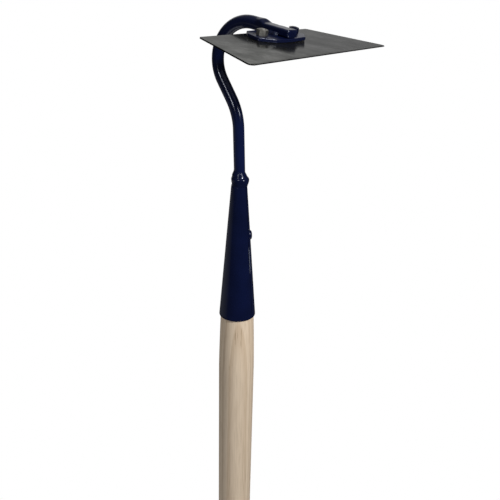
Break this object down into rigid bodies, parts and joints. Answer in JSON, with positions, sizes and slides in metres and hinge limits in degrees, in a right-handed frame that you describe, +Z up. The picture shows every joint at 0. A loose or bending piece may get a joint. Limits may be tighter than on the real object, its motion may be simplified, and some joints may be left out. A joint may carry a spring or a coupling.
{
  "type": "swan neck hoe",
  "caption": "Long ash handle in a rolled steel socket, with a bent rod neck that carries a flat trapezoidal hoe blade.",
  "frame": {"origin": "centre of the small flat on the domed butt of the handle", "axes": "+Z up along the handle from its butt to the head, +X from the neck towards the blade's cutting edge, +Y across the blade"},
  "size_m": [0.1137, 0.199, 1.5443],
  "materials": {
    "ash": "pale straight grain, waxed smooth",
    "blue_enamel": "dark navy enamel, semi gloss",
    "weld_enamel": "the same enamel over lumpy weld beads",
    "nail_enamel": "the same enamel over the nail's head",
    "blade_steel": "grey rolled steel, lacquered",
    "bolt_steel": "dull zinc plate"
  },
  "bodies": {
    "root": {"handle": "ash", "socket": "blue_enamel", "socket_rivet": "nail_enamel", "neck": "blue_enamel", "socket_weld": "weld_enamel", "mounting_plate": "blue_enamel", "blade": "blade_steel", "blade_bolt_near": "bolt_steel", "blade_bolt_far": "bolt_steel", "blade_nut_near": "bolt_steel", "blade_nut_far": "bolt_steel", "tongue_weld_near": "weld_enamel", "tongue_weld_far": "weld_enamel"}
  },
  "joints": []
}
